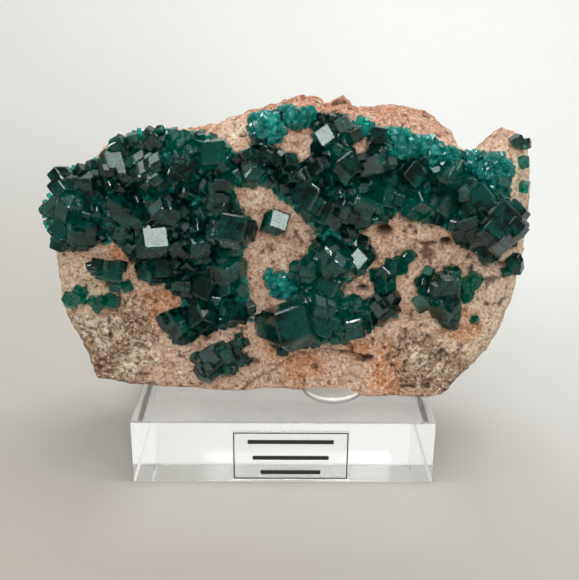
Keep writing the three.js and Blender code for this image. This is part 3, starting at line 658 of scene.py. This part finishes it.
def make_rock():
    """The slab with its fine relief, and on its points how much of each colour and of painted shade they
    show.
    """
    points = rock_points()
    stations, around = points.shape[:2]
    n = np.arange(stations * around).reshape(stations, around)
    nxt = np.roll(n, -1, axis=1)
    quads = np.stack([n[:-1], n[1:], nxt[1:], nxt[:-1]], axis=-1).reshape(-1, 4).tolist()
    ends = [n[0].tolist(), n[-1][::-1].tolist()]
    flat = points.reshape(-1, 3)
    mesh = mesh_from(flat, quads + ends)
    normals = np.zeros(flat.size)
    mesh.vertices.foreach_get("normal", normals)
    x, y, z = flat.T
    seen = as_seen(flat)
    front = (np.arange(len(flat)) % around <= ROCK_GRID["front"] + ROCK_GRID["top"] // 2).astype(float)
    ragged = 0.35 * lumps(flat, 1.7) + 0.2 * lumps(flat, 0.6)
    spots = {"grey": GREY_SPOTS, "cream": CREAM_SPOTS, "rust": RUST_SPOTS, "beige": BEIGE_SPOTS}
    shown = {name: spot_mask(some, *seen, ragged) * front for name, some in spots.items()}
    relief = sum(height * lumps(flat, size) for height, size in GRAIN)
    relief += RELIEF["crest"] * lumps(flat, 0.75) * smoothstep(z, *RELIEF["crest_from"])
    relief += (RELIEF["grey"] * np.abs(lumps(flat, 1.3, (0, 40, 0))) - 0.1) * shown["grey"]
    hollows = smoothstep(lumps(flat, 0.9, (17, 0, 0)), 0.45, 0.8)
    relief -= RELIEF["hollow"] * hollows
    # The hollows, pits and crack are also painted darker: painted shade in the recesses.
    recess_shade = 0.8 * hollows
    for px, pz, radius, depth in PITS:
        s = np.hypot(x - px, (z - pz) / PIT_FLATNESS) / radius
        pit = (1 - smoothstep(s, 0.35, 1.15)) * front
        relief -= depth * pit
        recess_shade = np.maximum(recess_shade, pit)
    crack = np.abs(z - line_at(LEDGE, x) + 0.35 * noise(x / 1.1, 5, 5) - 0.1)
    along = (x > LEDGE[0][0]) & (x < LEDGE[-1][0]) & (z < 21)
    split = (1 - smoothstep(crack, 0.18, 0.55)) * along * front
    relief -= RELIEF["crack"] * split
    shown["recess_shade"] = np.maximum(recess_shade, split)
    moved = flat + normals.reshape(-1, 3) * relief[:, None]
    resting = z <= ROCK["base"] + 0.3
    moved[:, 2] = np.maximum(np.where(resting, z, moved[:, 2]), ROCK["base"] + 0.02)
    mesh.vertices.foreach_set("co", (moved * MM).astype(np.float32).ravel())
    mesh.update()
    in_crust = np.maximum.reduce([room_in(o, *seen) for o in CRUST])
    off_bare = -np.maximum.reduce([room_in(o, *seen) for o in BARE])
    under_crust = smoothstep(np.minimum(in_crust, off_bare) + 0.3 * ragged, 0.1, 0.8)
    # Painted shade, tinted dark teal, on the rock under the crust: it darkens the gaps between the crystals
    # and what shows through them.
    shown["covered"] = under_crust * smoothstep(-y, 0.5, 3.5)
    for name, amount in shown.items():
        float_attribute(mesh, name, amount)
    mesh.shade_smooth()
    return new_object("rock_surface", mesh)


def band(first, count):
    """The faces between a ring of points and the next ring of as many."""
    pairs = [(first + k, first + (k + 1) % count) for k in range(count)]
    return [(here, here + count, there + count, there) for here, there in pairs]


def by_glue(share, angle, out, lift):
    """A point near the drop's surface, at a share of its wavy radius, further out and lifted a little."""
    reach = GLUE["radius"] * share * (1 + share * GLUE_WAVE * math.sin(3 * angle + 0.6)) + out
    height = GLUE_SWELL * GLUE["height"] * math.sqrt(max(1 - share**3, 0))
    return (
        GLUE["x"] + reach * math.cos(angle), GLUE["y"] + reach * math.sin(angle),
        BLOCK["height"] + lift + height,
    )


def make_glue():
    """The drop of glue, a low dome whose skirt runs out thin over the block."""
    sides, rings = 96, 14
    points = [(GLUE["x"], GLUE["y"], BLOCK["height"] + GLUE_SWELL * GLUE["height"])]
    skirt = 0.01
    for ring in range(1, rings + 1):
        points += [by_glue(ring / rings, math.tau * side / sides, 0, skirt) for side in range(sides)]
    faces = [(0, 1 + k, 1 + (k + 1) % sides) for k in range(sides)]
    for ring in range(rings - 1):
        faces += band(1 + ring * sides, sides)
    faces.append(tuple(1 + (rings - 1) * sides + k for k in reversed(range(sides))))
    return smooth_object("glue_drop", points, faces)


def make_glue_highlight_rim():
    """The painted highlight on the drop's front edge, a thin white crescent running out to a point at both
    ends.
    """
    steps, across = 72, 6
    loop = 2 * across
    points = []
    for step in range(steps + 1):
        angle = math.radians(between(GLUE_HIGHLIGHT_RIM["from"], GLUE_HIGHLIGHT_RIM["to"], step / steps))
        fullness = math.sin(math.pi * between(0.02, 0.98, step / steps)) ** 0.6
        inner = between(GLUE_HIGHLIGHT_RIM["outer"], GLUE_HIGHLIGHT_RIM["inner"], fullness)
        for n in range(loop):
            side = n if n < across else loop - 1 - n
            share = between(inner, GLUE_HIGHLIGHT_RIM["outer"], side / (across - 1))
            swell = math.sin(math.pi * between(0.08, 0.92, side / (across - 1)))
            lift = 0.06 + GLUE_HIGHLIGHT_RIM["thickness"] * fullness * swell if n < across else 0.03
            points.append(by_glue(share, angle, GLUE_HIGHLIGHT_RIM["clear"], lift))
    faces = [tuple(range(loop)), tuple(steps * loop + n for n in reversed(range(loop)))]
    for step in range(steps):
        faces += band(step * loop, loop)
    return smooth_object("glue_highlight_rim", points, faces)


def bars_object(name, bars, y):
    """Flat bars as one mesh, each given by its middle x, z and half sizes; y holds their two sides."""
    points, faces = [], []
    corners = [(0, 1, 3, 2), (4, 6, 7, 5), (0, 4, 5, 1), (2, 3, 7, 6), (0, 2, 6, 4), (1, 5, 7, 3)]
    for x, z, half_width, half_height in bars:
        faces += [tuple(len(points) + i for i in face) for face in corners]
        xs, zs = (x - half_width, x + half_width), (z - half_height, z + half_height)
        points += [(px, py, pz) for py in y for pz in zs for px in xs]
    return new_object(name, mesh_from(points, faces))


def make_label_film():
    """The label's clear film, a hair clear of the block."""
    block_front = -BLOCK["depth"] / 2
    film = (LABEL["x"], LABEL["z"], LABEL["width"] / 2, LABEL["height"] / 2)
    return bars_object("label_film", [film], (block_front - LABEL["thickness"], block_front - FILM_GAP))


def make_label_print():
    """The thin frame line and the plain rules that stand on the label's film."""
    x, z, half_line, half_rule = LABEL["x"], LABEL["z"], LABEL_PRINT["line"] / 2, LABEL_PRINT["rule"] / 2
    half_width = LABEL["width"] / 2 - LABEL_PRINT["inset"]
    half_height = LABEL["height"] / 2 - LABEL_PRINT["inset"]
    bars = []
    for sign in (-1, 1):
        bars.append((x, z + sign * (half_height - half_line), half_width, half_line))
        bars.append((x + sign * (half_width - half_line), z, half_line, half_height))
    for height, half in zip(LABEL_PRINT["rule_z"], LABEL_PRINT["rule_half"]):
        bars.append((x, height + half_rule, half, half_rule))
    film_front = -BLOCK["depth"] / 2 - LABEL["thickness"]
    return bars_object("label_print", bars, (film_front - LABEL_PRINT["thickness"], film_front))


class Nodes:
    """One material's node tree, with short ways to add the nodes used here."""

    def __init__(self, name):
        self.material = bpy.data.materials.new(name)
        self.material.use_nodes = True
        self.tree = self.material.node_tree
        self.shader = self.tree.nodes["Principled BSDF"]
        self.place = self.add("ShaderNodeTexCoord").outputs["Object"]

    def add(self, kind, **sockets):
        node = self.tree.nodes.new(kind)
        for name, value in sockets.items():
            self.put(node.inputs[name.replace("_", " ")], value)
        return node

    def put(self, socket, value):
        if isinstance(value, bpy.types.NodeSocket):
            self.tree.links.new(value, socket)
        else:
            socket.default_value = value

    def set(self, **sockets):
        for name, value in sockets.items():
            self.put(self.shader.inputs[name.replace("_", " ")], value)

    def noise(self, scale, detail=4.0, roughness=0.6):
        sockets = {"Scale": scale, "Detail": detail, "Roughness": roughness}
        return self.add("ShaderNodeTexNoise", Vector=self.place, **sockets).outputs["Fac"]

    def cells(self, scale, output="Distance"):
        return self.add("ShaderNodeTexVoronoi", Vector=self.place, Scale=scale).outputs[output]

    def parts(self, kind, value):
        """The three values that a colour or a place is made of."""
        node = self.add("ShaderNodeSeparate" + kind)
        self.put(node.inputs[0], value)
        return node.outputs[:3]

    def spread(self, value, low, high, to_low=0.0, to_high=1.0):
        sockets = {"Value": value, "From_Min": low, "From_Max": high, "To_Min": to_low, "To_Max": to_high}
        return self.add("ShaderNodeMapRange", **sockets).outputs["Result"]

    def math(self, operation, *values):
        node = self.add("ShaderNodeMath")
        node.operation = operation
        for socket, value in zip(node.inputs, values):
            self.put(socket, value)
        return node.outputs[0]

    def blend(self, factor, a, b, kind="MIX"):
        node = self.add("ShaderNodeMix")
        node.data_type = "RGBA"
        node.blend_type = kind
        self.put(node.inputs["Factor"], factor)
        self.put(node.inputs[6], a)
        self.put(node.inputs[7], b)
        return node.outputs[2]

    def ramp(self, value, *stops):
        node = self.add("ShaderNodeValToRGB")
        self.put(node.inputs["Fac"], value)
        ramp = node.color_ramp
        while len(ramp.elements) < len(stops):
            ramp.elements.new(1.0)
        for element, (position, colour) in zip(ramp.elements, stops):
            element.position = position
            element.color = colour
        return node.outputs["Color"]

    def attribute(self, name, share):
        """A share of what the mesh's points say under a name."""
        node = self.add("ShaderNodeAttribute")
        node.attribute_name = name
        return self.math("MULTIPLY", node.outputs["Fac"], share)

    def bump(self, height, distance, strength, **before):
        sockets = {"Height": height, "Distance": distance, "Strength": strength}
        return self.add("ShaderNodeBump", **sockets, **before).outputs["Normal"]

    def absorb(self, colour, density):
        volume = self.add("ShaderNodeVolumeAbsorption", Color=colour, Density=density)
        self.put(self.tree.nodes["Material Output"].inputs["Volume"], volume.outputs["Volume"])


def srgb(r, g, b):
    """A colour given as it looks on a screen, 0 to 255."""
    shares = (r / 255, g / 255, b / 255)
    linear = [c / 12.92 if c <= 0.04045 else ((c + 0.055) / 1.055) ** 2.4 for c in shares]
    return (*linear, 1.0)


# How a crystal's faces tint what they mirror, on the large dark ones and on the bright carpet
DARK_GLOSS = (0.74, 0.82, 0.79, 1.0)
BRIGHT_GLOSS = (0.8, 0.9, 0.87, 1.0)


def dioptase(name, density, clear, deep, pale, gloss):
    """Green crystal, clear but strongly absorbing, grown in blocks with lines and clouded patches."""
    m = Nodes(name)
    lines = m.add("ShaderNodeTexWave", Vector=m.place, Scale=900.0, Distortion=9.0, Detail=2.0)
    block_height, block_clouds, _ = m.parts("Color", m.cells(950.0, "Color"))
    height = m.math("ADD", m.math("MULTIPLY", lines.outputs["Fac"], 0.35), m.noise(1400.0, 5.0))
    height = m.math("ADD", height, m.math("MULTIPLY", block_height, 1.6))
    cloudy = m.math("ADD", m.noise(260.0, 4.0, 0.65), m.attribute("pale", 0.22))
    cloudy = m.math("ADD", cloudy, m.spread(block_clouds, 0.0, 1.0, -0.13, 0.1))
    clouds = m.blend(m.spread(cloudy, 0.43, 0.66), deep, pale)
    m.set(
        Base_Color=clouds, Transmission_Weight=clear, IOR=1.66,
        Specular_Tint=gloss, Roughness=m.spread(m.noise(600.0, 3.0), 0.35, 0.7, 0.03, 0.14),
        Normal=m.bump(height, 0.00003, 0.25),
    )
    m.absorb((0.0, 0.74, 0.66, 1.0), density)
    return m.material


def sandy_rock():
    m = Nodes("sandy rock")
    grain = m.noise(2300.0, 3.0, 0.75)
    coarse = m.noise(420.0, 5.0, 0.7)
    broad = m.noise(110.0)
    colour = m.ramp(
        coarse, (0.3, srgb(195, 156, 126)), (0.46, srgb(218, 180, 151)), (0.58, srgb(230, 196, 169)),
        (0.74, srgb(246, 222, 200)),
    )
    colour = m.blend(m.spread(broad, 0.55, 0.75, 0.0, 0.5), colour, srgb(218, 172, 132))
    colour = m.blend(m.attribute("beige", 0.65), colour, srgb(226, 210, 180))
    colour = m.blend(m.attribute("rust", 0.7), colour, srgb(206, 138, 84))
    mottled = m.ramp(
        m.noise(1100.0, 4.0, 0.75), (0.36, srgb(76, 56, 38)), (0.46, srgb(138, 110, 82)),
        (0.58, srgb(174, 147, 114)), (0.7, srgb(230, 217, 192)),
    )
    colour = m.blend(m.attribute("grey", 0.9), colour, mottled)
    white = m.attribute("cream", m.spread(m.noise(700.0, 4.0, 0.7), 0.42, 0.6))
    colour = m.blend(white, colour, srgb(240, 232, 204))
    crest = m.spread(m.parts("XYZ", m.place)[2], 0.054, 0.06, 0.0, 0.8)
    colour = m.blend(crest, colour, srgb(212, 176, 162), "MULTIPLY")
    colour = m.blend(m.spread(grain, 0.34, 0.5, 0.85, 0.0), colour, srgb(160, 126, 102), "MULTIPLY")
    colour = m.blend(m.spread(grain, 0.56, 0.7, 0.0, 0.6), colour, srgb(250, 234, 216))
    colour = m.blend(m.spread(m.cells(900.0), 0.0, 0.14, 0.6, 0.0), colour, srgb(120, 88, 66), "MULTIPLY")
    colour = m.blend(m.spread(m.cells(340.0), 0.06, 0.15, 0.75, 0.0), colour, srgb(104, 72, 52), "MULTIPLY")
    brown, light, _ = m.parts("Color", m.cells(2400.0, "Color"))
    colour = m.blend(m.spread(brown, 0.55, 1.0, 0.0, 0.5), colour, srgb(168, 100, 62), "MULTIPLY")
    colour = m.blend(m.spread(light, 0.75, 1.0, 0.0, 0.5), colour, srgb(248, 232, 212))
    # Painted shade: dark brown in the hollows, pits and crack.
    colour = m.blend(m.attribute("recess_shade", 0.95), colour, srgb(60, 38, 28), "MULTIPLY")
    # Painted shade under the crust, tinted dark teal and broken up by noise.
    teal_shade = m.blend(m.spread(m.noise(500.0), 0.4, 0.6, 0.35, 0.85), colour, srgb(20, 96, 80))
    colour = m.blend(m.attribute("covered", 0.9), colour, teal_shade)
    rough = m.bump(coarse, 0.0008, 0.8)
    rough = m.bump(grain, 0.00025, 1.0, Normal=rough)
    m.set(
        Base_Color=colour, Roughness=m.spread(grain, 0.3, 0.7, 0.78, 0.96), Specular_IOR_Level=0.25,
        Normal=rough,
    )
    return m.material


def clear_acrylic():
    m = Nodes("clear acrylic")
    wear = m.noise(1500.0, 6.0, 0.7)
    m.set(
        Base_Color=(1.0, 1.0, 1.0, 1.0), Transmission_Weight=0.95, IOR=1.49,
        Roughness=m.spread(wear, 0.4, 0.8, 0.01, 0.07), Normal=m.bump(wear, 0.000004, 0.4),
    )
    m.absorb((0.86, 0.95, 0.9, 1.0), 6.0)
    return m.material


def label_film():
    m = Nodes("label film")
    dust = m.noise(2500.0, 5.0, 0.7)
    tint = m.ramp(dust, (0.3, (0.96, 0.96, 0.95, 1.0)), (0.7, (1.0, 1.0, 1.0, 1.0)))
    m.set(
        Base_Color=tint, Transmission_Weight=0.97, IOR=1.45, Roughness=m.spread(dust, 0.3, 0.7, 0.01, 0.04),
    )
    return m.material


def black_ink():
    m = Nodes("black ink")
    paper = m.noise(5200.0, 5.0, 0.8)
    m.set(
        Base_Color=m.ramp(paper, (0.35, srgb(14, 13, 15)), (0.7, srgb(44, 42, 44))),
        Roughness=m.spread(paper, 0.3, 0.7, 0.5, 0.8),
    )
    return m.material


def clear_glue():
    m = Nodes("clear glue")
    cloud = m.noise(900.0)
    m.set(
        Base_Color=(0.95, 0.95, 0.93, 1.0), Transmission_Weight=0.5, IOR=1.5,
        Roughness=m.spread(cloud, 0.35, 0.7, 0.1, 0.25), Normal=m.bump(cloud, 0.00004, 0.5),
    )
    m.absorb((0.9, 0.9, 0.86, 1.0), 12.0)
    return m.material


# An opaque near-white paint for the painted highlight on the glue's front edge.
def glue_highlight_paint():
    m = Nodes("glue highlight paint")
    cloud = m.noise(700.0)
    m.set(
        Base_Color=m.ramp(cloud, (0.3, srgb(236, 235, 224)), (0.65, srgb(255, 254, 248))),
        Roughness=m.spread(cloud, 0.35, 0.7, 0.15, 0.35), Normal=m.bump(cloud, 0.00004, 0.5),
    )
    return m.material


def pale_floor():
    """A pale cloth-like floor with painted light: paler and glowing under the clear block, for the light
    that comes through it, and a glowing patch of light before it.
    """
    m = Nodes("pale floor")
    weave = m.noise(350.0)
    x, y, z = m.parts("XYZ", m.place)
    # Painted shade: darker towards the front and on the left, where the light falls off, running up to the
    # even backdrop.
    depth = m.spread(y, -0.04, 0.4)
    left = m.ramp(
        depth, (0.0, (0.41, 0.37, 0.33, 1.0)), (0.11, (0.455, 0.43, 0.4, 1.0)),
        (0.28, (0.495, 0.484, 0.44, 1.0)), (1.0, (0.81, 0.81, 0.795, 1.0)),
    )
    right = m.ramp(
        depth, (0.0, (0.44, 0.42, 0.39, 1.0)), (0.11, (0.57, 0.57, 0.54, 1.0)),
        (0.32, (0.716, 0.73, 0.71, 1.0)), (1.0, (0.82, 0.82, 0.805, 1.0)),
    )
    colour = m.blend(m.spread(x, -0.06, 0.06), left, right)
    colour = m.blend(m.spread(weave, 0.3, 0.7, 0.0, 0.05), colour, (0.4, 0.39, 0.37, 1.0))
    # Painted light under the clear block: paler there, and glowing below, for the light that comes through
    # the block.
    painted_light_under_block = m.math("MULTIPLY", m.math("COMPARE", x, 0.0, 0.0245), m.math("COMPARE", y, 0.0, 0.0195))
    colour = m.blend(painted_light_under_block, colour, (1.0, 1.0, 0.99, 1.0))
    colour = m.blend(m.spread(z, 0.06, 0.12), colour, (0.84, 0.84, 0.83, 1.0))
    m.set(Base_Color=colour, Roughness=0.75, Emission_Color=(1.0, 0.99, 0.97, 1.0))
    # The glow is painted light: under the block, and as a patch of light before it.
    aside = m.spread(m.math("ABSOLUTE", x), 0.02, 0.032, 1.0, 0.0)
    lit = m.math("MULTIPLY", aside, m.math("COMPARE", y, -0.0315, 0.012))
    lit = m.math("MULTIPLY", lit, m.spread(y, -0.042, -0.0205))
    m.set(Emission_Strength=m.math("ADD", m.math("MULTIPLY", painted_light_under_block, 0.2), m.math("MULTIPLY", lit, 0.12)))
    return m.material


def wear_material(obj, material):
    obj.data.materials.clear()
    obj.data.materials.append(material)


def stand_in(obj, material, node):
    """The piece takes the place of a solid, on the same body."""
    wear_material(obj, material)
    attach(obj, "root")
    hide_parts(node)


def add_to(obj, material):
    """The piece is added beside the solids, on the same body."""
    wear_material(obj, material)
    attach(obj, "root")


def light(name, place, aim, energy, size):
    data = bpy.data.lights.new(name, "AREA")
    data.energy = energy
    data.size = size
    obj = bpy.data.objects.new(name, data)
    obj.location = Vector(place) * MM
    obj.rotation_euler = (Vector(aim) - Vector(place)).to_track_quat("-Z", "Y").to_euler()
    bpy.context.scene.collection.objects.link(obj)


def make_camera():
    pitch, yaw, roll = math.radians(20.5), math.radians(0.6), math.radians(-0.5)
    data = bpy.data.cameras.new("camera")
    data.lens, data.sensor_width = 54.12, 36
    data.clip_start, data.clip_end = 0.005, 20
    camera = bpy.data.objects.new("camera", data)
    turn = Matrix.Rotation(-yaw, 4, "Z") @ Matrix.Rotation(math.pi / 2 - pitch, 4, "X")
    camera.matrix_world = Matrix.Translation(Vector(EYE) * MM) @ turn @ Matrix.Rotation(-roll, 4, "Z")
    bpy.context.scene.collection.objects.link(camera)
    bpy.context.scene.camera = camera


AIR_GAP = 0.05  # between the polished block and the floor


def make_floor():
    """A floor that runs up behind the specimen in one sweep."""
    half_width, front, back, bend, height = 900, -500, 420, 220, 900
    steps = 16
    profile = [(front, -AIR_GAP)]
    for step in range(steps + 1):
        angle = math.pi / 2 * step / steps
        profile.append((back - bend + bend * math.sin(angle), bend - bend * math.cos(angle) - AIR_GAP))
    profile.append((back, height))
    points = [(x, y, z) for y, z in profile for x in (-half_width, half_width)]
    faces = [(2 * n, 2 * n + 1, 2 * n + 3, 2 * n + 2) for n in range(len(profile) - 1)]
    floor = smooth_object("floor", points, faces)
    wear_material(floor, pale_floor())


def make_world():
    world = bpy.data.worlds.new("room")
    world.use_nodes = True
    bpy.context.scene.world = world
    background = world.node_tree.nodes["Background"].inputs
    background["Color"].default_value = (1.0, 1.0, 0.99, 1.0)
    background["Strength"].default_value = 0.17


def make_crystals():
    big = dioptase("dioptase", 1000.0, 0.93, (0.0, 0.08, 0.065, 1.0), (0.0, 0.6, 0.47, 1.0), DARK_GLOSS)
    small = dioptase(
        "dioptase carpet", 450.0, 0.78, (0.0, 0.48, 0.4, 1.0), (0.05, 1.0, 0.85, 1.0), BRIGHT_GLOSS,
    )
    crust_spots = filled(CRUST_CRYSTALS, FILL)
    fine_spots = filled(crust_spots, BETWEEN, SPARKLING)[len(crust_spots):]
    druse_spots = [
        (x, z, radius) for x, z, radius in crust_spots
        if any(math.hypot(x - cx, z - cz) < reach for cx, cz, reach in SPARKLING)
    ]
    large_spots = [spot for spot in crust_spots if spot not in druse_spots]
    crust = with_satellites(settled(kept_inside(large_spots), seed=3), seed=5)
    crust += settled(kept_inside(fine_spots), seed=6, sink=-0.5)
    stand_in(joined_crystals("crust_crystals", crust), big, "crystal_crust")

    carpet = settled(filled([], CARPET), seed=8, sink=0.05) + heaped(druse_spots + SPARKLING)
    add_to(loose_crystals("crust_carpet", carpet), small)

    for n, (node, spots) in enumerate(GROUPS.items()):
        grown = with_satellites(settled(spots, seed=20 + n), seed=40 + n)
        stand_in(joined_crystals(node + "_faces", grown), big, node)


def main():
    stand_in(make_rock(), sandy_rock(), "rock")
    make_crystals()
    wear_material(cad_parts["stand"], clear_acrylic())
    stand_in(make_label_film(), label_film(), "label")
    add_to(make_label_print(), black_ink())
    stand_in(make_glue(), clear_glue(), "glue")
    # The painted highlight on the glue's front edge.
    add_to(make_glue_highlight_rim(), glue_highlight_paint())

    make_floor()
    make_world()
    make_camera()
    for n, place in enumerate(LAMPS):
        light(f"lamp_{n}", place, (0, 0, 36), 0.15, 0.04)
    light("overhead", (-40, -60, 480), (0, 0, 30), 1.1, 0.6)
    light("front", FRONT_LIGHT, (0, 0, 20), 0.95, 0.18)
    light("backdrop", (140, 120, 520), (40, 400, 120), 1.5, 0.4)
    bpy.context.scene.view_settings.view_transform = "Standard"
    bpy.context.scene.render.resolution_x, bpy.context.scene.render.resolution_y = 579, 580


main()
